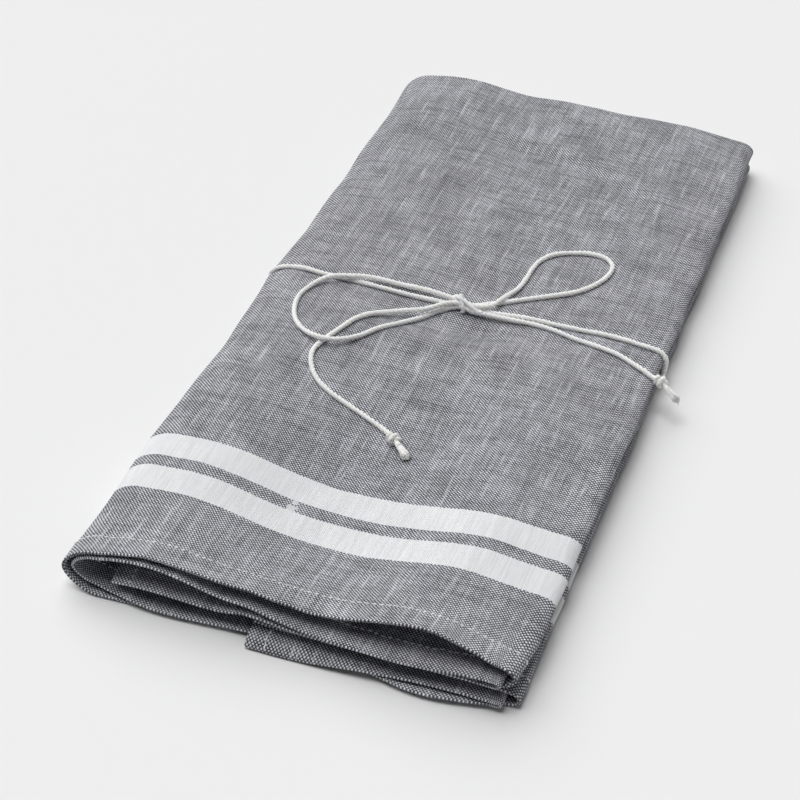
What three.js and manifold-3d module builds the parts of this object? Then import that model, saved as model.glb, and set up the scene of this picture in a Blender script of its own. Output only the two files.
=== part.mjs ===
// A folded linen towel, tied across its middle with thin cotton twine in a bow.
// Millimetres, +Z up. +Y runs along the fold, from the hemmed near end to the folded far end.
// The towel is one sheet: folded in half at the far end, so every panel is a pair of layers,
// an outer and an inner one, and the pair is then folded lengthwise, left side first.
// Seen from the near end, its path is: flap, lower right fold, bottom, left fold, top,
// upper right fold, tuck.

import * as THREE from 'three';
import { mergeVertices } from 'three/addons/utils/BufferGeometryUtils.js';
import Module from 'manifold-3d';

const wasm = await Module();
wasm.setup();

// Cloth
const SHEET = 1.0;            // thickness of the sheet
const HEM_SHEET = 1.3;        // thickness where the near ends are hemmed
const HEM_WIDTH = 10;
const PITCH = 1.4;            // least distance from one layer to the next
const HEM_PITCH = 1.75;       // the same at the thicker hems
const FAR_TURN = 171;         // where the far fold begins to turn
const HEM_INNER_Y = -165;     // beyond this the cloth is its plain thickness
const HEM_BLEND_Y = -150;

// Free long edges of the cloth, across the fold
const FLAP_END_X = -12.6;
const TUCK_END_X = -65;
const FLAP_DROOP = 3.2;       // the flap's free corner hangs over the near ends below it
const FLAP_DROOP_FROM = 4;
const FLAP_DROOP_TO = 44;

// Twine
const TWINE = 1.8;
const TWINE_SIDES = 8;
const TUFT = 9;               // frayed end beyond each end knot
const WRAP_STEP = 6;
const BOW_STEP = 7;
const TIE_Y = 11;             // the twine passes under the towel here
const REST_GAP = 0.3;         // between pieces that touch
const GROOVE = 2.3;           // how far the bottom layer rises over the twine below it
const GROOVE_FLAT = 1.6;
const GROOVE_REACH = 8;
const GROOVE_EDGE = 1.8;

const COLOURS = {
  cloth: 0x77787c,
  twine: 0xece7da,
};

// Named places across the fold, and the height of the top layer there at sections along it
const ACROSS = { left: -72, hill: -52, middle: -20, dip: 10, rise: 54, right: 74 };
const TOP_SECTIONS = [
  { name: 'near edge', y: -175, left: 19.6, hill: 22.8, middle: 21.8, dip: 18.9, rise: 25.0, right: 18.6 },
  { name: 'hem line', y: -164, left: 18.3, hill: 20.8, middle: 19.3, dip: 17.6, rise: 22.3, right: 17.4 },
  { name: 'behind hem', y: -140, left: 17.6, hill: 18.6, middle: 13.6, dip: 12.2, rise: 18.6, right: 16.4 },
  { name: 'stripes', y: -105, left: 17.4, hill: 18.4, middle: 11.9, dip: 10.9, rise: 18.0, right: 16.3 },
  { name: 'front half', y: -50, left: 16.0, hill: 17.4, middle: 14.0, dip: 12.0, rise: 16.5, right: 15.6 },
  { name: 'tie', y: TIE_Y, left: 13.8, hill: 15.2, middle: 15.0, dip: 13.4, rise: 14.2, right: 13.7 },
  { name: 'back half', y: 90, left: 15.6, hill: 17.2, middle: 16.0, dip: 14.8, rise: 16.0, right: 15.0 },
  { name: 'far fold', y: FAR_TURN, left: 17.0, hill: 19.0, middle: 17.8, dip: 17.6, rise: 16.6, right: 15.4 },
];

// The layers from the floor up. Each takes a share of the air that is left between the packed
// layers and the top: at the near end by place across, in the body and at the far fold evenly.
const LAYERS = [
  { name: 'bottomOuter', near: [0, 0, 0, 0, 0, 0], body: 0, far: 0 },
  { name: 'bottomInner', near: [0.18, 0, 0, 0, 0, 0], body: 0.04, far: 0.12 },
  { name: 'flapInner', near: [0.2, 0, 0, 0, 0.05, 0.05], body: 0.3, far: 0.2 },
  { name: 'flapOuter', near: [0.2, 0, 0, 0, 0.05, 0.05], body: 0.34, far: 0.36 },
  { name: 'tuckOuter', near: [0.4, 0.46, 0.27, 0.02, 0.05, 0.06], body: 0.6, far: 0.44 },
  { name: 'tuckInner', near: [0.4, 0.46, 0.27, 0.02, 0.05, 0.06], body: 0.64, far: 0.6 },
  { name: 'topInner', near: [0.95, 0.95, 0.55, 0.16, 0.1, 0.4], body: 0.92, far: 0.75 },
  { name: 'topOuter', near: [1, 1, 1, 1, 1, 1], body: 1, far: 1 },
];
const FIRST_OVER_FLAP = 4;    // layers from here up also lie on the flap pair
const FIRST_OVER_TUCK = 6;    // layers from here up also lie on the tuck pair

// Where each layer's near end stops, by place across: left, hill, middle, dip, rise, right
const NEAR_ENDS = {
  topOuter: [-174.5, -174, -174, -173.5, -173.5, -174],
  topInner: [-175, -175, -175, -177, -178, -177],
  tuckInner: [-175, -175.5, -175.5, -176, -176, -176],
  tuckOuter: [-172, -172, -172, -172, -172, -173],
  flapInner: [-180.5, -180.5, -180.5, -180, -178, -177.5],
  flapOuter: [-173, -173, -173, -173, -172, -173],
  bottomInner: [-174.5, -177, -175.5, -174, -180.5, -177],
  bottomOuter: [-176.5, -175.5, -173, -172, -172, -173.5],
};

// The three lengthwise folds: how far out each layer of the pair reaches, and how sharp they are
const FOLDS = {
  lowerRight: { edge: ACROSS.right, side: 1, outer: 83.2, inner: 78, steps: 6, bluntness: 2.0, reach: 1.3 },
  left: { edge: ACROSS.left, side: -1, outer: -83.5, inner: -80, steps: 8, bluntness: 1.6, reach: 2.0 },
  upperRight: { edge: ACROSS.right, side: 1, outer: 83.8, inner: 79.5, steps: 7, bluntness: 1.8, reach: 1.6 },
};

// The pair's path through panels and folds
const PATH = [
  { panel: 'flap', from: FLAP_END_X, to: ACROSS.right },
  { fold: 'lowerRight', from: 'flap', to: 'bottom' },
  { panel: 'bottom', from: ACROSS.right, to: ACROSS.left },
  { fold: 'left', from: 'bottom', to: 'top' },
  { panel: 'top', from: ACROSS.left, to: ACROSS.right },
  { fold: 'upperRight', from: 'top', to: 'tuck' },
  { panel: 'tuck', from: ACROSS.right, to: TUCK_END_X },
];
const PANEL_COLUMNS = [-72, -62, -52, -41, -30, -20, -10, 0, 10, 21, 32, 43, 54, 64, 74];
const HEM_ROWS = [0, 4, HEM_WIDTH];
const BODY_ROWS = [-158, -140, -120, -90, -50, -20, TIE_Y - GROOVE_REACH, TIE_Y - GROOVE_EDGE,
  TIE_Y + GROOVE_EDGE, TIE_Y + GROOVE_REACH, 48, 90, 130, 158, FAR_TURN];
const FAR_TURN_ROWS = 3;

function smoothStep(from, to, value) {
  const part = Math.min(1, Math.max(0, (value - from) / (to - from)));
  return part * part * (3 - 2 * part);
}

// A smooth curve through values given at increasing places
function through(places, values, at) {
  const last = places.length - 1;
  const x = Math.min(places[last], Math.max(places[0], at));
  let k = 0;
  while (k < last - 1 && x > places[k + 1]) k += 1;
  const slope = (i) => {
    if (i === 0) return (values[1] - values[0]) / (places[1] - places[0]);
    if (i === last) return (values[last] - values[last - 1]) / (places[last] - places[last - 1]);
    const before = places[i] - places[i - 1];
    const after = places[i + 1] - places[i];
    const risen = (values[i] - values[i - 1]) / before;
    const rising = (values[i + 1] - values[i]) / after;
    return (risen * after + rising * before) / (before + after);
  };
  const h = places[k + 1] - places[k];
  const u = (x - places[k]) / h;
  const u2 = u * u;
  const u3 = u2 * u;
  return (2 * u3 - 3 * u2 + 1) * values[k] + (u3 - 2 * u2 + u) * h * slope(k)
    + (3 * u2 - 2 * u3) * values[k + 1] + (u3 - u2) * h * slope(k + 1);
}

const acrossPlaces = Object.values(ACROSS);
const sectionPlaces = TOP_SECTIONS.map((section) => section.y);

function topHeight(x, y) {
  const heights = TOP_SECTIONS.map((section) => through(
    acrossPlaces, Object.keys(ACROSS).map((place) => section[place]), x));
  return through(sectionPlaces, heights, y);
}

function sheetHalf(y) {
  const hemmed = 1 - smoothStep(HEM_INNER_Y, HEM_INNER_Y + 4, y);
  return 0.5 * (SHEET + (HEM_SHEET - SHEET) * hemmed);
}

// Height of the middle of a layer when all below it lie packed
function packedHeight(level, x, y) {
  let below = level;
  if (level >= FIRST_OVER_FLAP) below -= 2 * (1 - smoothStep(FLAP_END_X - 13, FLAP_END_X, x));
  if (level >= FIRST_OVER_TUCK) below -= 2 * (1 - smoothStep(TUCK_END_X - 13, TUCK_END_X, x));
  const pitch = PITCH + (HEM_PITCH - PITCH) * (1 - smoothStep(HEM_INNER_Y, HEM_BLEND_Y, y));
  const groove = GROOVE * (1 - smoothStep(GROOVE_FLAT, GROOVE_REACH, Math.abs(y - TIE_Y)));
  return sheetHalf(y) + pitch * below + groove;
}

function layerHeight(name, x, y) {
  const level = LAYERS.findIndex((layer) => layer.name === name);
  const { near, body, far } = LAYERS[level];
  const air = Math.max(0.3, topHeight(x, y) - packedHeight(LAYERS.length - 1, x, y));
  const nearness = 1 - smoothStep(-172, -120, y);
  const farness = smoothStep(110, FAR_TURN - 6, y);
  const share = nearness * through(acrossPlaces, near, x) + farness * far
    + (1 - nearness - farness) * body;
  return packedHeight(level, x, y) + share * air;
}

// The places across where a panel has columns, in the direction of the path
function panelColumns({ from, to }) {
  const inside = PANEL_COLUMNS.filter((x) => x > Math.min(from, to) + 2 && x < Math.max(from, to) - 2);
  const columns = [Math.min(from, to), ...inside, Math.max(from, to)];
  return from < to ? columns : columns.reverse();
}

// Middle of a fold at a share 0 to 1 of its turn
function foldPoint(foldName, layer, start, end, share) {
  const { edge, side, outer, inner, bluntness, reach } = FOLDS[foldName];
  const tip = layer === 'Outer' ? outer : inner;
  const half = (start - end) / 2;
  const depth = Math.min(Math.abs(tip - edge), Math.abs(half) * reach);
  const turn = Math.PI * (0.5 - share);
  const power = 2 / bluntness;
  const out = Math.cos(turn) ** power;
  const up = Math.sign(Math.sin(turn)) * Math.abs(Math.sin(turn)) ** power;
  return { x: tip - side * depth * (1 - out), z: (start + end) / 2 + half * up };
}

function nearDroop(name, row, x) {
  if (name !== 'flapInner' || row > 0) return 0;
  return FLAP_DROOP * (1 - smoothStep(FLAP_DROOP_FROM, FLAP_DROOP_TO, x));
}

// One row of a layer: the middle of the sheet at every column of the path
function layerRow(layer, row) {
  const rowY = (panel, x) => {
    if (row >= HEM_ROWS.length) return BODY_ROWS[row - HEM_ROWS.length];
    return through(acrossPlaces, NEAR_ENDS[panel + layer], x) + HEM_ROWS[row];
  };
  const points = [];
  for (const part of PATH) {
    if (part.panel) {
      for (const x of panelColumns(part)) {
        const y = rowY(part.panel, x);
        const z = layerHeight(part.panel + layer, x, y);
        points.push({ x, y, z: z - nearDroop(part.panel + layer, row, x) });
      }
    } else {
      const { edge, steps } = FOLDS[part.fold];
      const yFrom = rowY(part.from, edge);
      const yTo = rowY(part.to, edge);
      const zFrom = layerHeight(part.from + layer, edge, yFrom);
      const zTo = layerHeight(part.to + layer, edge, yTo);
      for (let step = 1; step < steps; step += 1) {
        const share = step / steps;
        const { x, z } = foldPoint(part.fold, layer, zFrom, zTo, share);
        points.push({ x, y: yFrom + (yTo - yFrom) * share, z });
      }
    }
  }
  return points;
}

// Both faces of a row: away from the pair's inside, and the other side
function rowFaces(points) {
  const away = [];
  const back = [];
  points.forEach((point, i) => {
    const before = points[Math.max(0, i - 1)];
    const after = points[Math.min(points.length - 1, i + 1)];
    const length = Math.hypot(after.x - before.x, after.z - before.z);
    const half = sheetHalf(point.y);
    const nx = (-(after.z - before.z) / length) * half;
    const nz = ((after.x - before.x) / length) * half;
    away.push(new THREE.Vector3(point.x + nx, point.y, point.z + nz));
    back.push(new THREE.Vector3(point.x - nx, point.y, point.z - nz));
  });
  return { away, back };
}

// Rows that carry a face round the far fold, from the outer layer to the inner one
function farRows(outerRow, innerRow) {
  const rows = [];
  for (let step = 1; step < FAR_TURN_ROWS; step += 1) {
    const angle = (Math.PI * step) / FAR_TURN_ROWS;
    rows.push(outerRow.map((outer, i) => {
      const middle = outer.clone().add(innerRow[i]).multiplyScalar(0.5);
      const half = outer.clone().sub(innerRow[i]).multiplyScalar(0.5);
      const point = middle.clone().addScaledVector(half, Math.cos(angle));
      point.y += half.length() * Math.sin(angle);
      return point;
    }));
  }
  return rows;
}

function towelGeometry() {
  const outside = [];
  const inside = [];
  const rowCount = HEM_ROWS.length + BODY_ROWS.length;
  const outerRows = [];
  const innerRows = [];
  for (let row = 0; row < rowCount; row += 1) {
    outerRows.push(rowFaces(layerRow('Outer', row)));
    innerRows.push(rowFaces(layerRow('Inner', row)));
  }
  const lastOuter = outerRows[rowCount - 1];
  const lastInner = innerRows[rowCount - 1];
  outside.push(...outerRows.map((faces) => faces.away));
  outside.push(...farRows(lastOuter.away, lastInner.back));
  outside.push(...innerRows.map((faces) => faces.back).reverse());
  inside.push(...outerRows.map((faces) => faces.back));
  inside.push(...farRows(lastOuter.back, lastInner.away));
  inside.push(...innerRows.map((faces) => faces.away).reverse());

  const rows = outside.length;
  const columns = outside[0].length;
  const positions = [];
  for (const grid of [outside, inside]) {
    for (const row of grid) {
      for (const point of row) positions.push(point.x, point.y, point.z);
    }
  }
  const at = (face, row, column) => (face * rows + row) * columns + column;
  const index = [];
  const quad = (a, b, c, d) => index.push(a, b, c, a, c, d);
  for (let r = 0; r < rows - 1; r += 1) {
    for (let c = 0; c < columns - 1; c += 1) {
      quad(at(0, r, c), at(0, r, c + 1), at(0, r + 1, c + 1), at(0, r + 1, c));
      quad(at(1, r, c), at(1, r + 1, c), at(1, r + 1, c + 1), at(1, r, c + 1));
    }
    quad(at(0, r, 0), at(0, r + 1, 0), at(1, r + 1, 0), at(1, r, 0));
    const end = columns - 1;
    quad(at(0, r, end), at(1, r, end), at(1, r + 1, end), at(0, r + 1, end));
  }
  for (let c = 0; c < columns - 1; c += 1) {
    const end = rows - 1;
    quad(at(0, 0, c), at(1, 0, c), at(1, 0, c + 1), at(0, 0, c + 1));
    quad(at(0, end, c), at(0, end, c + 1), at(1, end, c + 1), at(1, end, c));
  }
  const geometry = new THREE.BufferGeometry();
  geometry.setAttribute('position', new THREE.Float32BufferAttribute(positions, 3));
  geometry.setIndex(index);
  geometry.computeVertexNormals();
  return geometry;
}

// Twine that lies on the towel: x, y and how far its middle is above the cloth's top face
const FACET = 0.12;           // flat faces between rows stand this far off the smooth cloth
const ON_CLOTH = TWINE / 2 + REST_GAP + FACET;
const OVER_TWINE = ON_CLOTH + TWINE + REST_GAP;

function onTowel([x, y, lift]) {
  return new THREE.Vector3(x, y, topHeight(x, y) + SHEET / 2 + lift);
}

const KNOT = { x: -0.8, y: 12, width: 8.4, depth: 4.8, height: 4.4 };
const knotCentre = onTowel([KNOT.x, KNOT.y, REST_GAP + 2 * FACET + KNOT.height / 2]);

const WRAP_LEFT_TOP = [[-6.6, 11.2, 1.5], [-12, 10.7, ON_CLOTH], [-20, 10.2, ON_CLOTH],
  [-30, 9.8, ON_CLOTH], [-41, 9.8, ON_CLOTH], [-52, 9.9, ON_CLOTH], [-62, 10.7, ON_CLOTH],
  [-70, 11.2, ON_CLOTH + 0.2]];

// Round the sides and under the towel: x, y and height
const WRAP_UNDER = [[-77.6, 11.4, 15.4], [-82.4, 11.2, 12.8], [-85.3, TIE_Y, 9.6], [-85.6, TIE_Y, 6.4],
  [-83.2, TIE_Y, 3.2], [-78, TIE_Y, 1.4], [-70, TIE_Y, 1.05], [-30, TIE_Y, 1.05], [30, TIE_Y, 1.05],
  [70, TIE_Y, 1.05], [81, TIE_Y, 1.05], [86.6, TIE_Y, 3], [87.4, 10.4, 7.2], [86.7, 10, 11.2],
  [84, 10.6, 14.8]];
const WRAP_RIGHT_TOP = [[78, 11.6, ON_CLOTH + 0.9], [68, 13, ON_CLOTH], [58, 13.8, ON_CLOTH],
  [47, 14, ON_CLOTH], [37, 13.6, ON_CLOTH], [28, 13.4, ON_CLOTH], [19, 13.1, ON_CLOTH],
  [11, 12.6, ON_CLOTH + 0.1], [5.2, 12.2, 1.5]];

const BOW_LEFT = [[-6.6, 12.8, 3.5], [-11, 12.9, 3.2], [-17, 13.2, 2.8], [-26, 13, 2.6], [-35, 12.7, 2.7],
  [-42, 11.8, 3.1], [-48.6, 9.4, OVER_TWINE + 0.1], [-54.3, 7.2, OVER_TWINE], [-59, 4.4, 2.3],
  [-62.6, 0, ON_CLOTH], [-64.2, -6.6, ON_CLOTH], [-63.2, -14, ON_CLOTH], [-60.2, -21.4, ON_CLOTH],
  [-55.4, -27.8, ON_CLOTH + 0.2], [-50, -32, 2.3], [-45.2, -34.2, OVER_TWINE + 0.1], [-41, -34, OVER_TWINE + 0.1],
  [-36, -31, 2.8], [-31, -24.6, 1.6], [-26, -17.2, ON_CLOTH], [-20, -8.8, ON_CLOTH],
  [-13.6, -0.2, ON_CLOTH], [-9.4, 4.8, ON_CLOTH], [-6.2, 8.2, 1.4]];
const BOW_RIGHT = [[4.8, 11.6, 3.9], [8.4, 12.6, OVER_TWINE + 0.4], [11.4, 14.8, OVER_TWINE + 0.2],
  [13.2, 18.6, OVER_TWINE + 0.1], [14.8, 24.4, 2.4], [16.8, 30.6, ON_CLOTH + 0.2],
  [17.9, 38, ON_CLOTH], [18.3, 46, ON_CLOTH], [19.8, 53.4, ON_CLOTH], [24, 58.8, ON_CLOTH],
  [30, 62.2, ON_CLOTH], [38, 63.6, ON_CLOTH], [45, 62, ON_CLOTH], [49.2, 57.6, ON_CLOTH],
  [49.4, 51.6, ON_CLOTH], [46, 43.2, ON_CLOTH], [40, 36, ON_CLOTH], [32, 30.6, ON_CLOTH],
  [22, 24.8, ON_CLOTH], [12.6, 19.2, ON_CLOTH], [8, 16.6, 1.4], [5, 14.6, 1.6]];
const TAIL_LEFT = [[-6.4, 8.6, 3.7], [-10, 4.6, 3.9], [-14, 1.6, 3.8], [-20, -1.2, 3.4],
  [-26.7, -5.2, 2.6], [-32.4, -9.8, 1.5], [-36.6, -15.8, ON_CLOTH], [-39.4, -22.6, ON_CLOTH],
  [-42, -29.6, ON_CLOTH], [-44, -36.4, ON_CLOTH], [-44.2, -42, ON_CLOTH], [-41.4, -49.4, ON_CLOTH],
  [-36.4, -55.4, ON_CLOTH], [-29, -60.2, ON_CLOTH], [-20, -63.6, ON_CLOTH], [-11, -67.4, ON_CLOTH],
  [-4, -70.4, ON_CLOTH], [-0.4, -72.6, 1.8]];
const TAIL_RIGHT = [[4.8, 9.6, 2.4], [10, 9.6, 2.8], [16, 9.5, 2.5], [22, 9.8, 1.7], [29, 10.3, ON_CLOTH],
  [38, 9.4, ON_CLOTH], [47, 7.2, ON_CLOTH], [57, 4.9, ON_CLOTH], [66, 2.7, ON_CLOTH],
  [73, -0.4, ON_CLOTH + 0.1], [78.6, -3.4, ON_CLOTH + 0.3], [82.2, -5, 0.9]];

function twineGeometry(points, stepLength) {
  const route = new THREE.CatmullRomCurve3(points, false, 'centripetal');
  const steps = Math.round(route.getLength() / stepLength);
  const section = new THREE.Shape();
  for (let side = 0; side < TWINE_SIDES; side += 1) {
    const angle = (2 * Math.PI * (side + 0.5)) / TWINE_SIDES;
    const x = (TWINE / 2) * Math.cos(angle);
    const y = (TWINE / 2) * Math.sin(angle);
    if (side === 0) section.moveTo(x, y);
    else section.lineTo(x, y);
  }
  section.closePath();
  return new THREE.ExtrudeGeometry(section, { steps, extrudePath: route, curveSegments: 1 });
}

function solidOf(geometry) {
  const bare = geometry.clone();
  bare.deleteAttribute('normal');
  bare.deleteAttribute('uv');
  const merged = mergeVertices(bare, 1e-4);
  return new wasm.Manifold(new wasm.Mesh({
    numProp: 3,
    vertProperties: new Float32Array(merged.attributes.position.array),
    triVerts: new Uint32Array(merged.index.array),
  }));
}

function geometryOf(solid) {
  const mesh = solid.getMesh();
  const geometry = new THREE.BufferGeometry();
  geometry.setAttribute('position', new THREE.Float32BufferAttribute(mesh.vertProperties, 3));
  geometry.setIndex(new THREE.BufferAttribute(new Uint32Array(mesh.triVerts), 1));
  geometry.computeVertexNormals();
  return geometry;
}

// A tied knot: a rounded lump with one turn of twine round its waist
function knotGeometry(width, depth, height) {
  const lump = new THREE.SphereGeometry(0.5, 14, 10).scale(width, depth, height);
  const turn = new THREE.TorusGeometry(0.5 * height - 0.35 * TWINE, 0.45 * TWINE, 8, 16);
  turn.rotateY(Math.PI / 2).rotateZ(0.35).scale(1, depth / height, 1);
  return geometryOf(solidOf(lump).add(solidOf(turn)));
}

// The knot near a free end, with the frayed end beyond it
function endKnotGeometry(direction, tuftLength) {
  const size = 2.2 * TWINE;
  const lump = new THREE.SphereGeometry(0.5, 12, 8).scale(1.15 * size, size, size);
  const tuft = new THREE.CylinderGeometry(0.75 * TWINE, 0.4 * TWINE, tuftLength, TWINE_SIDES, 2);
  tuft.translate(0, tuftLength / 2 + size / 4, 0);
  tuft.applyQuaternion(new THREE.Quaternion().setFromUnitVectors(
    new THREE.Vector3(0, 1, 0), direction.clone().normalize()));
  return geometryOf(solidOf(lump).add(solidOf(tuft)));
}

const clothMaterial = new THREE.MeshStandardMaterial({
  color: COLOURS.cloth, roughness: 0.95, metalness: 0, side: THREE.DoubleSide });
const twineMaterial = new THREE.MeshStandardMaterial({
  color: COLOURS.twine, roughness: 0.85, metalness: 0 });

const part = new THREE.Group();

function addPiece(name, geometry, material, place) {
  const piece = new THREE.Mesh(geometry, material);
  piece.name = name;
  if (place) piece.position.copy(place);
  part.add(piece);
  return piece;
}

const towel = addPiece('towel', towelGeometry(), clothMaterial);

const wrapRoute = [
  ...WRAP_LEFT_TOP.map(onTowel),
  ...WRAP_UNDER.map((point) => new THREE.Vector3(...point)),
  ...WRAP_RIGHT_TOP.map(onTowel),
];
addPiece('twine_wrap', twineGeometry(wrapRoute, WRAP_STEP), twineMaterial);
addPiece('bow_knot', knotGeometry(KNOT.width, KNOT.depth, KNOT.height), twineMaterial, knotCentre);
addPiece('bow_loop_left', twineGeometry(BOW_LEFT.map(onTowel), BOW_STEP), twineMaterial);
addPiece('bow_loop_right', twineGeometry(BOW_RIGHT.map(onTowel), BOW_STEP), twineMaterial);
addPiece('tail_left', twineGeometry(TAIL_LEFT.map(onTowel), BOW_STEP), twineMaterial);
addPiece('tail_right', twineGeometry(TAIL_RIGHT.map(onTowel), BOW_STEP), twineMaterial);
addPiece('tail_knot_left', endKnotGeometry(new THREE.Vector3(0.76, -0.64, -0.06), TUFT),
  twineMaterial, onTowel([2, -75, 2.7]));
addPiece('tail_knot_right', endKnotGeometry(new THREE.Vector3(0.68, -0.24, -0.69), TUFT),
  twineMaterial, new THREE.Vector3(86.6, -6.8, 14.8));

// The towel's own box is centred over the origin, its bottom face at height zero
const box = new THREE.Box3().setFromObject(towel);
part.position.set(-(box.min.x + box.max.x) / 2, -(box.min.y + box.max.y) / 2, 0);
part.updateMatrixWorld(true);

export default part;
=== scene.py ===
import math

import bpy
import numpy as np
from mathutils import Matrix, Vector


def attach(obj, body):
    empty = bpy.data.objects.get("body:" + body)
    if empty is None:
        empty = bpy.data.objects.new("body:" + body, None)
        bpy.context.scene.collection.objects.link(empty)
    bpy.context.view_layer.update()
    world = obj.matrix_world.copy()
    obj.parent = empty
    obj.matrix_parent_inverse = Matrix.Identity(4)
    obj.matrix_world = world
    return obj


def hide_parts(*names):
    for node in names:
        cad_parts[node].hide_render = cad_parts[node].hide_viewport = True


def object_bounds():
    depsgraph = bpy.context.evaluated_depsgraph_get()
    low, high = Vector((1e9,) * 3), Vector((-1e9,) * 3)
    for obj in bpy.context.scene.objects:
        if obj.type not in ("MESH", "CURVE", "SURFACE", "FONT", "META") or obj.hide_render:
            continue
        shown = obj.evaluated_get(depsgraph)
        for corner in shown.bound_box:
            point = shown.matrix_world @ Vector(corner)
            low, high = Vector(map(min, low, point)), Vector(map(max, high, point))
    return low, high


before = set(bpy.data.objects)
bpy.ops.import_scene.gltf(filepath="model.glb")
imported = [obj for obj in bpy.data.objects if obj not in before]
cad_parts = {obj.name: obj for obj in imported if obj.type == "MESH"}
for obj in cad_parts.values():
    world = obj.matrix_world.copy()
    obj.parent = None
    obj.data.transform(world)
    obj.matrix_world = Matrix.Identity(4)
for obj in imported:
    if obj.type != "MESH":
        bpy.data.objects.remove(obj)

CAD_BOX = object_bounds()
MM = 0.001

# The tables below are in millimetres, in a frame whose y is this much less than the part's
SHIFT = np.array([0.0, 3.4075, 0.0])


def linked(name, data):
    """A new object with this data, in the scene."""
    made = bpy.data.objects.new(name, data)
    bpy.context.scene.collection.objects.link(made)
    return made


# Camera, at the photograph's viewing angle

CAMERA_AT = (193.52, -594.05, 491.60)
CAMERA_AZIMUTH = -19.9
CAMERA_PITCH = 39.5
CAMERA_ROLL = 0.76
CAMERA_LENS = 88.6
CAMERA_SENSOR = 36.0
CAMERA_CLIP = (0.01, 80.0)


def make_camera():
    azimuth, pitch, roll = (math.radians(a) for a in (CAMERA_AZIMUTH, CAMERA_PITCH, CAMERA_ROLL))
    level = math.cos(pitch)
    forward = Vector((math.sin(azimuth) * level, math.cos(azimuth) * level, -math.sin(pitch)))
    right = Vector((math.cos(azimuth), -math.sin(azimuth), 0.0))
    up = right.cross(forward)
    x_axis = right * math.cos(roll) + up * math.sin(roll)
    y_axis = -right * math.sin(roll) + up * math.cos(roll)
    data = bpy.data.cameras.new("camera")
    data.lens = CAMERA_LENS
    data.sensor_width = CAMERA_SENSOR
    data.clip_start, data.clip_end = CAMERA_CLIP
    camera = linked("camera", data)
    rotation = Matrix((x_axis, y_axis, -forward)).transposed()
    camera.matrix_world = Matrix.Translation(Vector(CAMERA_AT) * MM) @ rotation.to_4x4()
    bpy.context.scene.camera = camera


make_camera()


# The folds, from the same named sizes as the solids; HALF sizes are half the sheet's thickness

HALF = 0.38
HEM_HALF = 0.62
SIDE_HEM_HALF = 0.52
HEM_WIDTH = 10.0
SIDE_HEM_WIDTH = 7.5
CAD_HALF = 0.5
CAD_HEM_HALF = 0.65
PITCH = 1.4
HEM_PITCH = 1.75
NEAR_END_Y = -175.0
FAR_TURN = 171.0
FAR_BLUNT = 1.3
HEM_INNER_Y = -165.0
HEM_BLEND_Y = -150.0
HEM_STEP = 4.0
EDGE_STEP = 13.0
LEAST_AIR = 0.3
FLAP_END_X = -12.6
TUCK_END_X = -65.0
FLAP_DROOP = 3.2
FLAP_DROOP_REACH = 5.0
FLAP_DROOP_FROM = 4.0
FLAP_DROOP_TO = 44.0
TUCK_DROOP = 2.6
TUCK_DROOP_REACH = 14.0
TUCK_DROOP_FROM = -48.0
TUCK_DROOP_TO = -8.0
TIE_Y = 11.0
GROOVE = 2.3
GROOVE_FLAT = 1.6
GROOVE_REACH = 8.0

# Places across the towel: left edge, hill, middle, dip, rise, right edge
PLACES = np.array((-72, -52, -20, 10, 54, 74), float)
# The top's height: a row's y, and its height at each of the places
TOP_SECTIONS = np.array([
    (-175, 19.6, 22.8, 21.8, 18.9, 25.0, 18.6),
    (-164, 18.3, 20.8, 19.3, 17.6, 22.3, 17.4),
    (-140, 17.6, 18.6, 13.6, 12.2, 18.6, 16.4),
    (-105, 17.4, 18.4, 11.9, 10.9, 18.0, 16.3),
    (-50, 16.0, 17.4, 14.0, 12.0, 16.5, 15.6),
    (TIE_Y, 13.8, 15.2, 15.0, 13.4, 14.2, 13.7),
    (90, 15.6, 17.2, 16.0, 14.8, 16.0, 15.0),
    (FAR_TURN, 17.0, 19.0, 17.8, 17.6, 16.6, 15.4),
])
# Each layer's level, and its share of the free height: near the open end, in the middle, at the far fold
LAYERS = {
    "bottomOuter": (0, (0, 0, 0, 0, 0, 0), 0, 0),
    "bottomInner": (1, (0.18, 0, 0, 0, 0, 0), 0.04, 0.12),
    "flapInner": (2, (0.2, 0, 0, 0, 0.05, 0.05), 0.3, 0.2),
    "flapOuter": (3, (0.2, 0, 0, 0, 0.05, 0.05), 0.34, 0.36),
    "tuckOuter": (4, (0.4, 0.46, 0.27, 0.02, 0.05, 0.06), 0.6, 0.44),
    "tuckInner": (5, (0.4, 0.46, 0.27, 0.02, 0.05, 0.06), 0.64, 0.6),
    "topInner": (6, (0.95, 0.95, 0.55, 0.16, 0.1, 0.4), 0.92, 0.75),
    "topOuter": (7, (1, 1, 1, 1, 1, 1), 1, 1),
}
FIRST_OVER_FLAP = 4
FIRST_OVER_TUCK = 6
NEAR_ENDS = {
    "topOuter": (-174.5, -174, -174, -173.5, -173.5, -174),
    "topInner": (-175, -175, -175, -177, -178, -177),
    "tuckInner": (-175, -175.5, -175.5, -176, -176, -176),
    "tuckOuter": (-172, -172, -172, -172, -172, -173),
    "flapInner": (-180.5, -180.5, -180.5, -180, -178, -177.5),
    "flapOuter": (-173, -173, -173, -173, -172, -173),
    "bottomInner": (-174.5, -177, -175.5, -174, -180.5, -177),
    "bottomOuter": (-176.5, -175.5, -173, -172, -172, -173.5),
}
FOLDS = {
    "lowerRight": {"edge": 74, "side": 1, "Outer": 83.2, "Inner": 78, "bluntness": 2.0, "reach": 1.3},
    "left": {"edge": -72, "side": -1, "Outer": -83.5, "Inner": -80, "bluntness": 1.6, "reach": 2.0},
    "upperRight": {"edge": 74, "side": 1, "Outer": 83.8, "Inner": 79.5, "bluntness": 1.8, "reach": 1.6},
}
NEAR_INSET = 2.4
NEAR_INSET_FROM = -174.0
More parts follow.
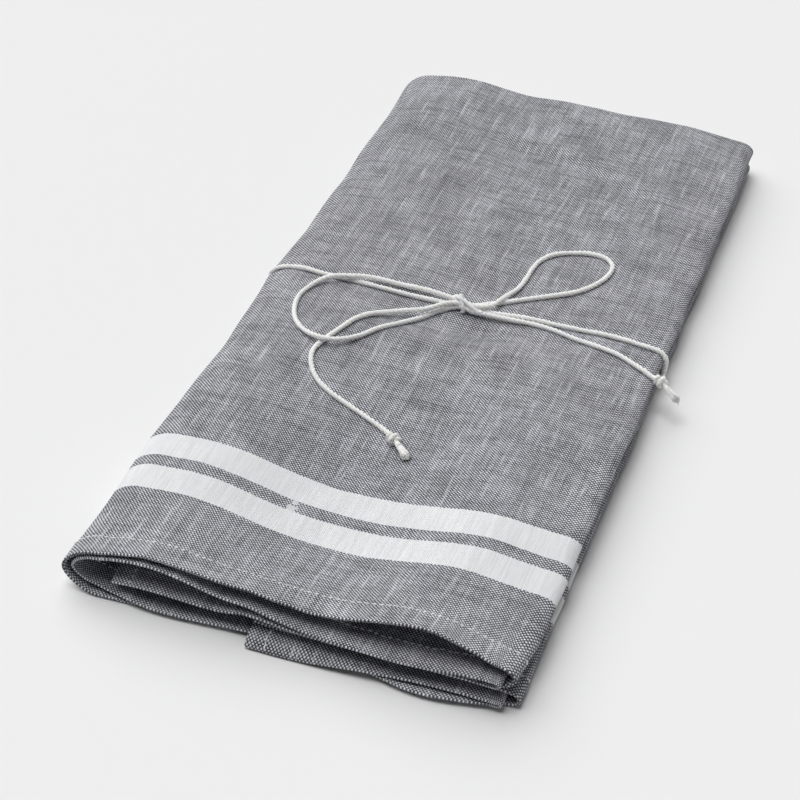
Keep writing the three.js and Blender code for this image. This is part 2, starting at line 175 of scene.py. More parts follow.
NEAR_INSET_TO = -148.0
# Where the left fold stands out further: place along it, width, distance; the tie pinches the first
LEFT_SWELLS = ((TIE_Y, 24.0, 1.7), (-112.0, 30.0, 1.3))
PINCH = 0.8
PINCH_WIDTH = 2.4
PATH = (
    ("panel", "flap", FLAP_END_X, 74),
    ("fold", "lowerRight", "flap", "bottom"),
    ("panel", "bottom", 74, -72),
    ("fold", "left", "bottom", "top"),
    ("panel", "top", -72, 74),
    ("fold", "upperRight", "top", "tuck"),
    ("panel", "tuck", 74, TUCK_END_X),
)


def smooth_step(low, high, value):
    share = np.clip((value - low) / (high - low), 0, 1)
    return share * share * (3 - 2 * share)


def through(places, values, at):
    """A smooth curve through values at increasing places; values may hold a column for each point."""
    places = np.asarray(places, float)
    at = np.clip(np.asarray(at, float), places[0], places[-1])
    values = np.asarray(values, float)
    if values.ndim == 1:
        values = np.repeat(values[:, None], at.size, axis=1)
    slopes = np.gradient(values, places, axis=0)
    k = np.clip(np.searchsorted(places, at, side="right") - 1, 0, len(places) - 2)
    n = np.arange(at.size)
    h = places[k + 1] - places[k]
    u = (at - places[k]) / h
    return ((2 * u**3 - 3 * u**2 + 1) * values[k, n] + (u**3 - 2 * u**2 + u) * h * slopes[k, n]
            + (3 * u**2 - 2 * u**3) * values[k + 1, n] + (u**3 - u**2) * h * slopes[k + 1, n])


def top_height(x, y):
    heights = [through(PLACES, section[1:], x) for section in TOP_SECTIONS]
    return through(TOP_SECTIONS[:, 0], heights, y)


def packed_height(level, x, y):
    below = level * np.ones_like(x)
    if level >= FIRST_OVER_FLAP:
        below = below - 2 * (1 - smooth_step(FLAP_END_X - EDGE_STEP, FLAP_END_X, x))
    if level >= FIRST_OVER_TUCK:
        below = below - 2 * (1 - smooth_step(TUCK_END_X - EDGE_STEP, TUCK_END_X, x))
    pitch = PITCH + (HEM_PITCH - PITCH) * (1 - smooth_step(HEM_INNER_Y, HEM_BLEND_Y, y))
    hemmed = 1 - smooth_step(HEM_INNER_Y, HEM_INNER_Y + HEM_STEP, y)
    groove = GROOVE * (1 - smooth_step(GROOVE_FLAT, GROOVE_REACH, np.abs(y - TIE_Y)))
    return CAD_HALF + (CAD_HEM_HALF - CAD_HALF) * hemmed + pitch * below + groove


def layer_height(name, x, y):
    level, near, body, far = LAYERS[name]
    air = np.maximum(LEAST_AIR, top_height(x, y) - packed_height(len(LAYERS) - 1, x, y))
    nearness = 1 - smooth_step(-172, -120, y)
    farness = smooth_step(110, FAR_TURN - 6, y)
    share = nearness * through(PLACES, near, x) + farness * far + (1 - nearness - farness) * body
    return packed_height(level, x, y) + share * air


# Soft irregular rises and hollows, the same each run

def waves(x, y, seed, count, longest, shortest, lean=0.0):
    """A sum of smooth waves between two wavelengths, about 1 high; with lean 1 all crests run along y."""
    rng = np.random.default_rng(seed)
    total = np.zeros_like(x)
    for _ in range(count):
        length = longest * (shortest / longest) ** rng.random()
        angle = (rng.random() - 0.5) * math.pi * (1 - lean)
        phase = rng.random() * 2 * math.pi
        bend = 0.6 * np.sin(2 * math.pi * y / (2.7 * length) + rng.random() * 6)
        total += np.sin(2 * math.pi * (x * math.cos(angle) + y * math.sin(angle)) / length + phase + bend)
    return total / math.sqrt(count / 2)


def ridge(x, y, points, width):
    """1 on a line through points, falling off over width to each side."""
    best = np.full(x.shape, 1e9)
    for (ax, ay), (bx, by) in zip(points[:-1], points[1:]):
        dx, dy = bx - ax, by - ay
        t = np.clip(((x - ax) * dx + (y - ay) * dy) / (dx * dx + dy * dy), 0, 1)
        best = np.minimum(best, (x - ax - t * dx) ** 2 + (y - ay - t * dy) ** 2)
    return np.exp(-best / (2 * width * width))


FAR_RISE = 1.2
FAR_RISE_FROM = 115.0
FAR_RISE_TO = 168.0
# Waves of the top face: height, seed, count, longest, shortest, lean
TOP_WAVES = ((0.30, 3, 14, 90, 34, 0.35), (0.10, 5, 22, 30, 12, 0.2))

# Creases and hollows of the top face: the line, its width and how far it rises
TIE_LINE = ((-84, 12), (-52, 9.9), (-6, 11.2), (5, 12.2), (56, 13.8), (84, 11))
TOP_CREASES = (
    (TIE_LINE, 2.6, -0.55),
    (((-22, -3), (-6, 0), (9, 1)), 6.0, -2.2),
    (((-34, -18), (-6, -15), (24, -13)), 5.0, 0.6),
    (((9, 1), (26, 1.5), (44, -1)), 4.2, -1.0),
    (((-40, 6), (-26, 6.5), (-14, 7)), 3.2, -0.6),
    (((-58, -2), (-57, -14)), 4.0, -0.5),
    (((60, 92), (48, 106), (30, 118), (6, 126), (-20, 130)), 3.0, -0.8),
    (((66, 98), (54, 114), (34, 127), (8, 135), (-22, 139)), 3.6, 0.6),
    (((-64, -28), (-52, -58), (-46, -92)), 6.0, 0.45),
    (((20, -20), (34, -62), (38, -104)), 7.0, 0.4),
    (((-10, 40), (-16, 84), (-30, 128)), 7.0, 0.4),
    (((-84, -14), (-80, 11), (-84, 40)), 11.0, 2.2),
    (((-60, 130), (-58, 176)), 9.0, 1.0),
    (((57, 130), (57, 176)), 9.0, 0.8),
)


def top_relief(x, y):
    """How far the top layer rises from the solid's smooth face."""
    rise = 0
    for height, *kind in TOP_WAVES:
        rise = rise + height * waves(x, y, *kind)
    for points, width, height in TOP_CREASES:
        rise = rise + height * ridge(x, y, points, width)
    rise = rise + 0.16 * waves(x, y, 8, 16, 16, 7, 0.85) * smooth_step(-150, -168, y)
    return rise + FAR_RISE * smooth_step(FAR_RISE_FROM, FAR_RISE_TO, y)


def layer_relief(name, x, y):
    if name == "topOuter":
        return top_relief(x, y)
    if name == "topInner":
        return 0.7 * np.minimum(top_relief(x, y), 0.25)
    near = 0.22 * waves(x, y, 20 + LAYERS[name][0], 14, 60, 18, 0.6) * smooth_step(-140, -168, y)
    if name == "bottomOuter":
        return np.maximum(near, 0) + 0.12 * (1 + waves(x, y, 31, 12, 80, 30))
    return 0.5 * near


# Rows nearer than the first follow the layer's own end, rows past the second lie straight
HEM_BLEND = (8.0, 32.0)


def near_end(name, x):
    return through(PLACES, NEAR_ENDS[name], x)


def row_y(name, x, q):
    """Where the row lies that is q from the near end when the end is straight."""
    straight = NEAR_END_Y + q
    follow = 1 - smooth_step(HEM_BLEND[0], HEM_BLEND[1], q)
    return straight + (near_end(name, x) - NEAR_END_Y) * follow


def panel_height(name, x, y, q):
    height = layer_height(name, x, y) + layer_relief(name, x, y)
    if name == "flapInner":
        bend = np.clip(1 - q / FLAP_DROOP_REACH, 0, 1) ** 1.4
        height = height - FLAP_DROOP * (1 - smooth_step(FLAP_DROOP_FROM, FLAP_DROOP_TO, x)) * bend
    if name in ("tuckInner", "tuckOuter"):
        bend = np.clip(1 - q / TUCK_DROOP_REACH, 0, 1) ** 1.3
        height = height - TUCK_DROOP * (1 - smooth_step(TUCK_DROOP_FROM, TUCK_DROOP_TO, x)) * bend
    return height


def steps_between(start, end, step):
    count = max(2, int(round(abs(end - start) / step)))
    return np.linspace(start, end, count + 1)


EDGE_STEPS = np.array([0.0, 0.14, 0.4, 0.8, 1.6, 3.2, 5.4, 7.2, 7.9])
PANEL_STEP = {"flap": 4.2, "bottom": 4.4, "top": 2.9, "tuck": 5.0}
FOLD_TURNS = {"lowerRight": 11, "left": 13, "upperRight": 12}


def panel_places(panel, start, end):
    """The columns of a panel, closer together where its edge is free."""
    if panel == "flap":
        rest = steps_between(start + 10, end, PANEL_STEP[panel])
        return np.concatenate([start + EDGE_STEPS, rest])
    if panel == "tuck":
        rest = steps_between(start, end + 10, PANEL_STEP[panel])
        return np.concatenate([rest, (end + EDGE_STEPS)[::-1]])
    return steps_between(start, end, PANEL_STEP[panel])


def fold_tip(name, layer, y):
    """How far out a fold reaches along its length."""
    fold = FOLDS[name]
    tip = fold[layer] + 0.25 * waves(np.zeros_like(y), y, 140 + fold["edge"], 8, 90, 25)
    if name == "upperRight":
        tip = tip - NEAR_INSET * (1 - smooth_step(NEAR_INSET_FROM, NEAR_INSET_TO, y))
    if name == "left":
        pinch = 1 - PINCH * np.exp(-((y - TIE_Y) / PINCH_WIDTH) ** 2)
        for place, width, swell in LEFT_SWELLS:
            tip = tip - swell * np.exp(-((y - place) / width) ** 2) * (pinch if place == TIE_Y else 1)
    return tip


def layer_grid(layer, rows):
    """Middle of the sheet at every row and column of the path, and each row's q."""
    q = np.asarray(rows, float)
    xs, ys, zs = [], [], []
    for kind, name, start, end in PATH:
        if kind == "panel":
            for x in panel_places(name, start, end):
                column = np.full(q.shape, x)
                y = row_y(name + layer, column, q)
                xs.append(column)
                ys.append(y)
                zs.append(panel_height(name + layer, column, y, q))
            continue
        fold = FOLDS[name]
        edge = np.full(q.shape, float(fold["edge"]))
        y0, y1 = row_y(start + layer, edge, q), row_y(end + layer, edge, q)
        z0, z1 = panel_height(start + layer, edge, y0, q), panel_height(end + layer, edge, y1, q)
        tip = fold_tip(name, layer, 0.5 * (y0 + y1))
        depth = np.minimum(np.abs(tip - fold["edge"]), np.abs(z0 - z1) / 2 * fold["reach"])
        for step in range(1, FOLD_TURNS[name]):
            share = step / FOLD_TURNS[name]
            turn = math.pi * (0.5 - share)
            power = 2 / fold["bluntness"]
            out = math.cos(turn) ** power
            up = math.copysign(abs(math.sin(turn)) ** power, math.sin(turn))
            xs.append(tip - fold["side"] * depth * (1 - out))
            ys.append(y0 + (y1 - y0) * share)
            zs.append((z0 + z1) / 2 + (z0 - z1) / 2 * up)
    return np.stack([np.array(xs).T, np.array(ys).T, np.array(zs).T], axis=2)


def softened(grid, passes=2):
    """Rounds the corners between panels and folds, across the path only."""
    for _ in range(passes):
        inner = 0.5 * grid[:, 1:-1] + 0.25 * (grid[:, :-2] + grid[:, 2:])
        along = np.linalg.norm(grid[:, 2:] - grid[:, :-2], axis=2)
        weight = np.clip(1.4 - along / 8.0, 0.15, 0.7)[:, :, None]
        grid[:, 1:-1, 0] += ((inner - grid[:, 1:-1]) * weight)[:, :, 0]
        grid[:, 1:-1, 2] += ((inner - grid[:, 1:-1]) * weight)[:, :, 2]
    return grid


# Where the sheet has its rows, from the near end: close together at the hems and at the tie
OUTER_ROWS = np.concatenate([
    [0, 0.14, 0.4, 0.8, 1.8, 3.4, 5.2, 7.0, 8.6, 9.6, 10.2, 11.2, 13],
    np.arange(16, 34, 3.0),
    np.arange(35, 178, 3.1),
    np.arange(178, 196, 1.6),
    np.arange(197, 345, 3.3),
    [346.0],
])
INNER_ROWS = np.concatenate([
    [0, 0.14, 0.4, 0.8, 1.8, 3.6, 6.0, 8.2, 9.6, 10.2, 12, 15],
    np.arange(19, 178, 6.0),
    np.arange(178, 196, 3.6),
    np.arange(198, 342, 6.5),
    [346.0],
])
TURN_STEPS = 8


def far_turn(outer, inner):
    """Rows that carry the sheet round the far fold, from the last outer row to the last inner one."""
    middle, half = (outer + inner) / 2, (outer - inner) / 2
    reach = np.linalg.norm(half, axis=1, keepdims=True)
    rows = []
    for step in range(1, TURN_STEPS):
        angle = math.pi * step / TURN_STEPS
        row = middle + half * math.cos(angle)
        row[:, 1:2] += FAR_BLUNT * reach * math.sin(angle)
        rows.append(row)
    return rows


def cloth_rows():
    """The whole sheet as one grid of rows and columns, from one hem over the far fold to the other."""
    outer = softened(layer_grid("Outer", OUTER_ROWS))
    inner = softened(layer_grid("Inner", INNER_ROWS))
    turn = far_turn(outer[-1], inner[-1])
    return np.concatenate([outer, np.array(turn), inner[::-1]])


def normals_of(grid):
    along = np.gradient(grid, axis=0)
    across = np.gradient(grid, axis=1)
    normal = np.cross(across, along)
    return normal / np.maximum(np.linalg.norm(normal, axis=2, keepdims=True), 1e-9)


def measured(grid, axis):
    """Mean distance along an axis of the grid, from its first line to each of its lines."""
    lengths = np.linalg.norm(np.diff(grid, axis=axis), axis=2)
    steps = np.median(lengths, axis=1 - axis)
    return np.concatenate([[0], np.cumsum(steps)])


def rounded_rim(distance, half):
    """Share of the sheet's thickness near a rim, so that the rim is round."""
    inside = np.clip(distance / (1.1 * half), 0, 1)
    return np.sqrt(np.clip(1 - (1 - inside) ** 2, 0.03, 1))


grid = cloth_rows()
across_at = measured(grid, 1)
along_at = measured(grid, 0)
CLOTH_WIDTH = across_at[-1]
CLOTH_LENGTH = along_at[-1]


def half_thickness():
    s = across_at[None, :] * np.ones((len(along_at), 1))
    t = along_at[:, None] * np.ones((1, len(across_at)))
    side = np.minimum(s, CLOTH_WIDTH - s)
    end = np.minimum(t, CLOTH_LENGTH - t)
    side_hem = 1 - smooth_step(SIDE_HEM_WIDTH - 0.3, SIDE_HEM_WIDTH + 0.5, side)
    end_hem = 1 - smooth_step(HEM_WIDTH - 0.4, HEM_WIDTH + 0.6, end)
    half = HALF + (SIDE_HEM_HALF - HALF) * side_hem + (HEM_HALF - HALF) * end_hem
    half = np.minimum(half, HEM_HALF)
    return half * rounded_rim(side, half) * rounded_rim(end, half)


def mesh_object(name, points, faces, uv=None, smooth=True):
    mesh = bpy.data.meshes.new(name)
    mesh.vertices.add(len(points))
    mesh.vertices.foreach_set("co", np.asarray(points, np.float32).ravel())
    faces = np.asarray(faces, np.int32)
    count, corners = faces.shape
    mesh.loops.add(count * corners)
    mesh.loops.foreach_set("vertex_index", faces.ravel())
    mesh.polygons.add(count)
    mesh.polygons.foreach_set("loop_start", np.arange(count, dtype=np.int32) * corners)
    if uv is not None:
        layer = mesh.uv_layers.new(name="UVMap")
        layer.data.foreach_set("uv", np.asarray(uv, np.float32)[faces.ravel()].ravel())
    mesh.update(calc_edges=True)
    mesh.validate()
    mesh.polygons.foreach_set("use_smooth", np.full(len(mesh.polygons), smooth))
    return linked(name, mesh)


def towel_mesh():
    rows, columns = grid.shape[:2]
    offset = cloth_half[:, :, None] * cloth_normal
    away = grid + offset
    back = grid - offset
    points = (np.concatenate([away.reshape(-1, 3), back.reshape(-1, 3)]) + SHIFT) * MM
    s, t = np.meshgrid(across_at * MM, along_at * MM)
    one_side = np.stack([s.ravel(), t.ravel()], axis=1)
    uv = np.concatenate([one_side, one_side])
    index = np.arange(rows * columns).reshape(rows, columns)
    a, b, c, d = index[:-1, :-1], index[:-1, 1:], index[1:, 1:], index[1:, :-1]
    first = np.stack([a, b, c, d], axis=-1).reshape(-1, 4)
    second = np.stack([a, d, c, b], axis=-1).reshape(-1, 4) + rows * columns
    rim = np.concatenate([index[0, :], index[1:, -1], index[-1, -2::-1], index[-2:0:-1, 0]])
    following = np.roll(rim, -1)
    third = np.stack([following, rim, rim + rows * columns, following + rows * columns], axis=-1)
    return mesh_object("towel_cloth", points, np.concatenate([first, second, third]), uv)


cloth_normal = normals_of(grid)
cloth_half = half_thickness()
towel = towel_mesh()


# Shader helpers: every constant is set on the socket itself

class Nodes:
    def __init__(self, name):
        self.material = bpy.data.materials.new(name)
        self.material.use_nodes = True
        self.tree = self.material.node_tree
        self.tree.nodes.clear()
        self.shader = self.node("BsdfPrincipled")
        output = self.node("OutputMaterial")
        self.put(output.inputs["Surface"], self.shader.outputs["BSDF"])

    def node(self, kind):
        return self.tree.nodes.new("ShaderNode" + kind)

    def put(self, socket, value):
        if isinstance(value, bpy.types.NodeSocket):
            self.tree.links.new(value, socket)
        else:
            socket.default_value = value

    def surface(self, name, value):
        self.put(self.shader.inputs[name], value)

    def math(self, operation, a, b=0.0, c=0.0, clamp=False):
        node = self.node("Math")
        node.operation = operation
        node.use_clamp = clamp
        for socket, value in zip(node.inputs, (a, b, c)):
            self.put(socket, value)
        return node.outputs[0]

    def plus(self, a, b):
        return self.math("ADD", a, b)

    def minus(self, a, b):
        return self.math("SUBTRACT", a, b)

    def times(self, a, b):
        return self.math("MULTIPLY", a, b)

    def ramp(self, value, low, high, to_low=0.0, to_high=1.0, kind="SMOOTHSTEP"):
        node = self.node("MapRange")
        node.interpolation_type = kind
        for key, item in (("Value", value), ("From Min", low), ("From Max", high),
                          ("To Min", to_low), ("To Max", to_high)):
            self.put(node.inputs[key], item)
        return node.outputs["Result"]

    def mix(self, share, a, b, blend="MIX"):
        node = self.node("Mix")
        node.data_type = "RGBA"
        node.blend_type = blend
        self.put(node.inputs[0], share)
        self.put(node.inputs[6], a)
        self.put(node.inputs[7], b)
        return node.outputs[2]

    def toned(self, colour, tone):
        return self.mix(1.0, colour, self.vector(tone, tone, tone), "MULTIPLY")

    def vector(self, x, y, z=0.0):
        node = self.node("CombineXYZ")
        for socket, value in zip(node.inputs, (x, y, z)):
            self.put(socket, value)
        return node.outputs[0]

    def noise(self, vector, scale=1.0, detail=2.0, roughness=0.5):
        node = self.node("TexNoise")
        for key, value in (("Vector", vector), ("Scale", scale), ("Detail", detail),
                           ("Roughness", roughness)):
            self.put(node.inputs[key], value)
        return node.outputs["Fac"]

    def random(self, value, dimensions="1D", socket="W"):
        node = self.node("TexWhiteNoise")
        node.noise_dimensions = dimensions
        self.put(node.inputs[socket], value)
        return node.outputs["Value"]

    def uv(self):
        node = self.node("UVMap")
        node.uv_map = "UVMap"
        split = self.node("SeparateXYZ")
        self.put(split.inputs[0], node.outputs[0])
        return split.outputs[0], split.outputs[1]

    def bump(self, height, distance, strength=1.0):
        node = self.node("Bump")
        node.inputs["Strength"].default_value = strength
        node.inputs["Distance"].default_value = distance
        self.put(node.inputs["Height"], height)
        self.surface("Normal", node.outputs["Normal"])


TWINE = 1.8
TWINE_FULL = 1.15
PLIES = 3
THREAD = 0.000667
STRIPE_NEAR = 0.0372
STRIPE_WIDTH = 0.0126
STRIPE_GAP = 0.0056
STRIPE_END = STRIPE_NEAR + 2 * STRIPE_WIDTH + STRIPE_GAP
STRIPE_RAGGED = 0.0003
BREAK_X = -19.0
BREAK_REACH = 0.0022
# The dark weft's colour runs from DARK_YARN to GREY_YARN: between them lie its uneven tone and a painted
# shade, lighter on the weft's crest and darker at its flanks and under the warp
DARK_YARN = (0.052, 0.051, 0.060, 1.0)
GREY_YARN = (0.130, 0.130, 0.152, 1.0)
LIGHT_YARN = (0.765, 0.775, 0.822, 1.0)
WHITE_YARN = (0.88, 0.886, 0.905, 1.0)


def cloth_material():
    n = Nodes("chambray_linen")
    s, t = n.uv()
    metres = n.vector(s, t)
    wander_s = n.times(n.minus(n.noise(metres, 70.0, 2.0), 0.5), 1.3)
    wander_t = n.times(n.minus(n.noise(n.vector(t, s, 3.0), 60.0, 2.0), 0.5), 1.5)
    u = n.plus(n.math("DIVIDE", s, THREAD), wander_s)
    v = n.plus(n.math("DIVIDE", t, THREAD), wander_t)
    warp, weft = n.math("FLOOR", u), n.math("FLOOR", v)
    fu = n.minus(n.math("FRACT", u), 0.5)
    fv = n.minus(n.math("FRACT", v), 0.5)
    warp_up = n.math("PINGPONG", n.plus(warp, weft), 1.0)
    weft_up = n.minus(1.0, warp_up)

    def yarn(index, spread, along, scale, seed):
        """Uneven thickness along one yarn; a small spread joins neighbouring yarns into a streak."""
        place = n.vector(n.times(index, spread), n.times(along, scale), seed)
        return n.noise(place, 1.0, 2.0, 0.55)

    warp_slub = n.plus(n.times(yarn(warp, 1.9, t, 58.0, 1.0), 0.72),
                       n.times(yarn(warp, 0.27, t, 30.0, 2.0), 0.28))
    weft_slub = n.plus(n.times(yarn(weft, 1.9, s, 54.0, 3.0), 0.65),
                       n.times(yarn(weft, 0.33, s, 30.0, 4.0), 0.35))
    speck = n.random(n.vector(warp, weft), "2D", "Vector")

    # Stripes: a light weft in two bands across each end
    from_end = n.math("MINIMUM", t, n.minus(CLOTH_LENGTH * MM, t))
    ragged = n.plus(from_end, n.times(n.minus(speck, 0.5), STRIPE_RAGGED))

    def band(start):
        end = start + STRIPE_WIDTH
        inside = n.ramp(ragged, start, start + STRIPE_RAGGED)
        beyond = n.ramp(ragged, end, end + STRIPE_RAGGED, 1.0, 0.0)
        return n.times(inside, beyond)

    striped = n.math("ADD", band(STRIPE_NEAR), band(STRIPE_NEAR + STRIPE_WIDTH + STRIPE_GAP), clamp=True)

    # One place where light slubs break the dark band between the stripes
    row = np.argmin(np.abs(along_at - (STRIPE_NEAR + STRIPE_WIDTH) / MM))
    column = np.argmax(np.where(np.abs(grid[row, :, 0] - BREAK_X) < 2.5, grid[row, :, 2], 0))
    aside = n.math("ABSOLUTE", n.minus(s, float(across_at[column]) * MM))
    reach = n.ramp(n.random(weft), 0.0, 1.0, 0.0, BREAK_REACH, "LINEAR")
    broken = n.math("LESS_THAN", n.math("MAXIMUM", aside, n.times(t, 0.01)), reach)
    broken = n.times(broken, n.ramp(from_end, STRIPE_NEAR, STRIPE_NEAR + 0.001))
    broken = n.times(broken, n.ramp(t, STRIPE_END, STRIPE_END + 0.0006, 1.0, 0.0))
    striped = n.math("MAXIMUM", striped, n.times(broken, 0.75))

    # Where the light warp passes over, it shows as a dome; thick yarns join up into slubs
    thick = n.ramp(warp_slub, 0.40, 0.68, 0.80, 1.40)
    wide = n.times(thick, n.ramp(speck, 0.0, 1.0, 0.86, 1.12, "LINEAR"))
    long = n.ramp(weft_slub, 0.36, 0.66, 1.32, 0.74)
    across = n.math("DIVIDE", n.times(fu, 2.0), wide)
    along = n.math("DIVIDE", n.times(fv, 2.0), long)
    dome = n.minus(1.0, n.plus(n.times(across, across), n.times(along, along)))
    light = n.times(n.ramp(dome, -0.25, 0.35), warp_up)
    middle = n.ramp(n.math("ABSOLUTE", fu), 0.2, 0.5, 1.0, 0.3)
    slub = n.times(n.ramp(warp_slub, 0.58, 0.67, 0.0, 0.92), middle)
    slub = n.times(slub, n.ramp(warp_up, 0.0, 1.0, 0.42, 1.0))
    light = n.math("MAXIMUM", light, slub)

    # The dark weft between them, rounded across its own width in the bump; its colour has uneven tone and
    # painted shade: lighter on its crest, darker at its flanks and darker where it passes under the warp
    weft_crest_and_shade = n.minus(1.0, n.times(n.times(fv, fv), 3.2))
    weft_light = n.ramp(weft_slub, 0.36, 0.66, 1.0, 0.25)
    under_warp_shade = n.ramp(weft_up, 0.0, 1.0, 0.45, 1.0)
    weft_tone_and_shade = n.times(weft_light, n.times(weft_crest_and_shade, under_warp_shade))
    dark = n.mix(weft_tone_and_shade, DARK_YARN, GREY_YARN)
    warp_tone = n.ramp(n.random(warp), 0.0, 1.0, 0.90, 1.04, "LINEAR")
    pale = n.toned(LIGHT_YARN, warp_tone)
    woven = n.mix(light, dark, pale)

    # Patches where the yarns are finer or thicker together
    patch = n.noise(n.vector(s, t, 9.0), 55.0, 3.0, 0.62)
    tone = n.ramp(patch, 0.30, 0.70, 0.83, 1.18, "LINEAR")
    patched = n.toned(woven, tone)
    # The white stripes: painted shade darkens each thread towards its sides, in the hollows between
    # threads, and the slubs make its tone uneven
    rib_shade = n.minus(1.0, n.times(n.times(fu, fu), 0.4))
    white_tone_and_shade = n.times(rib_shade, n.ramp(warp_slub, 0.36, 0.66, 0.90, 1.02, "LINEAR"))
    white = n.toned(WHITE_YARN, white_tone_and_shade)
    n.surface("Base Color", n.mix(striped, patched, white))
    n.surface("Roughness", 0.92)
    n.surface("Specular IOR Level", 0.15)
    n.surface("Sheen Weight", 0.06)
    n.surface("Sheen Roughness", 0.5)
    relief = n.plus(n.times(n.ramp(dome, -0.6, 1.0), warp_up),
                    n.times(weft_crest_and_shade, n.times(weft_up, 0.8)))
    n.bump(n.plus(relief, n.times(slub, 0.5)), 0.00016, 0.8)
    return n.material


def twine_material(name, glow):
    n = Nodes(name)
    s, t = n.uv()
    fibre = n.noise(n.vector(n.times(s, 900.0), n.times(t, 2600.0)), 1.0, 3.0, 0.6)
    soft = n.noise(n.vector(n.times(s, 120.0), n.times(t, 200.0), 4.0), 1.0, 2.0)
    light = n.plus(n.times(fibre, 0.6), n.times(soft, 0.5))
    colour = n.mix(n.ramp(light, 0.35, 0.75), (0.92, 0.915, 0.89, 1.0), (0.985, 0.98, 0.965, 1.0))
    turn = n.math("DIVIDE", t, TWINE * MM / 2)
    ply = n.math("ABSOLUTE", n.math("COSINE", n.times(turn, PLIES / 2)))
    # Painted shade: the twine's colour is darker in the grooves between its plies
    ply_groove_shade = n.ramp(ply, 0.0, 0.45, 0.80, 1.0)
    n.surface("Base Color", n.toned(colour, ply_groove_shade))
    n.surface("Roughness", 0.85)
    n.surface("Specular IOR Level", 0.2)
    n.surface("Sheen Weight", 0.45)
    n.surface("Subsurface Weight", glow)
    n.surface("Subsurface Radius", (0.001, 0.0009, 0.0008))
    n.surface("Subsurface Scale", 1.0)
    n.bump(fibre, 0.00012, 0.6)
    return n.material


def floor_material():
    n = Nodes("pale_floor")
    n.surface("Base Color", (0.86, 0.86, 0.86, 1.0))
    n.surface("Roughness", 0.7)
    n.surface("Specular IOR Level", 0.2)
    return n.material


CLOTH = cloth_material()
COTTON = twine_material("twisted_cotton", 0.6)
LOOSE_COTTON = twine_material("loose_cotton", 0.0)


# Twine: three plies twisted together, swept along routes that lie on the cloth

PLY_TWIST = 6.0
RING = 18
RING_STEP = 0.42
CAD_GAP = 0.3
CAD_FACET = 0.12
ON_CLOTH = TWINE / 2 + CAD_GAP + CAD_FACET
OVER_TWINE = ON_CLOTH + TWINE + CAD_GAP
SINK = 0.10
UNDER_Z = 1.18
FUZZ_PER_MM = 2.6
FUZZ_RADIUS = 0.04
FUZZ_ROOT = 0.40

# Routes over the towel: x, y and the lift of the twine's middle, left out where it lies on the cloth
WRAP_LEFT_TOP = (
    (2.4, 11.0, 2.2), (-1.5, 11.4, 2.1), (-6.6, 11.2, 1.5), (-12, 10.7), (-20, 10.2), (-30, 9.8),
    (-41, 9.8), (-52, 9.9), (-62, 10.7), (-70, 11.1),
)
WRAP_RIGHT_TOP = (
    (72, 12.4), (65, 13.2), (58, 13.8), (47, 14), (37, 13.6), (28, 13.4), (19, 13.1),
    (11, 12.6, ON_CLOTH + 0.1), (5.2, 12.2, 1.5), (1.0, 12.4, 1.9), (-3.0, 12.8, 2.2),
)
BOW_LEFT = (
    (1.6, 11.8, 3.6), (-2.4, 12.3, 3.7), (-6.6, 12.8, 3.5), (-11, 12.9, 3.2), (-17, 13.2, 2.8),
    (-26, 13, 2.6), (-35, 12.7, 2.7), (-42, 11.8, 3.1), (-48.6, 9.4, OVER_TWINE + 0.1),
    (-54.3, 7.2, OVER_TWINE), (-59, 4.4, 2.3), (-62.6, 0), (-64.2, -6.6), (-63.2, -14), (-60.2, -21.4),
    (-55.4, -27.8, ON_CLOTH + 0.2), (-50, -32, 2.3), (-45.2, -34.2, OVER_TWINE), (-41, -34, OVER_TWINE),
    (-36, -31, 2.8), (-31, -24.6, 1.6), (-26, -17.2), (-20, -8.8), (-13.6, -0.2), (-9.4, 4.8),
    (-6.2, 8.2, 1.4), (-2.6, 10.6, 1.8), (1.2, 11.4, 2.0),
)
BOW_RIGHT = (
    (-2.6, 12.4, 3.9), (1.2, 11.6, 4.0), (4.8, 11.6, 3.9), (8.4, 12.6, OVER_TWINE + 0.4),
    (11.4, 14.8, OVER_TWINE + 0.2), (13.2, 18.6, OVER_TWINE + 0.1), (14.8, 24.4, 2.4),
    (16.8, 30.6, ON_CLOTH + 0.2), (17.9, 38), (18.3, 46), (19.8, 53.4), (24, 58.8), (30, 62.2),
    (38, 63.6), (45, 62), (49.2, 57.6), (49.4, 51.6), (46, 43.2), (40, 36), (32, 30.6), (22, 24.8),
    (12.6, 19.2), (8, 16.6, 1.4), (5, 14.6, 1.6), (1.2, 12.9, 2.2), (-2.0, 12.4, 2.6),
)
TAIL_LEFT = (
    (0.8, 11.6, 2.9), (-2.6, 10.9, 3.5), (-6.4, 8.6, 3.7), (-10, 4.6, 3.9), (-14, 1.6, 3.8),
    (-20, -1.2, 3.4), (-26.7, -5.2, 2.6), (-32.4, -9.8, 1.5), (-36.6, -15.8), (-39.4, -22.6),
    (-42, -29.6), (-44, -36.4), (-44.2, -42), (-41.4, -49.4), (-36.4, -55.4), (-29, -60.2),
    (-20, -63.6), (-11, -67.4), (-4, -70.4), (-0.4, -72.6, 1.8),
)
TAIL_RIGHT = (
    (-1.2, 10.6, 2.9), (1.8, 10.0, 2.8), (4.8, 9.6, 2.6), (10, 9.6, 2.8), (16, 9.5, 2.5),
    (22, 9.8, 1.7), (29, 10.3), (38, 9.4), (47, 7.2), (57, 4.9), (66, 2.7), (73, -0.4, ON_CLOTH + 0.1),
    (78.6, -3.4, ON_CLOTH + 0.2), (82.6, -5.2, 0.9),
)
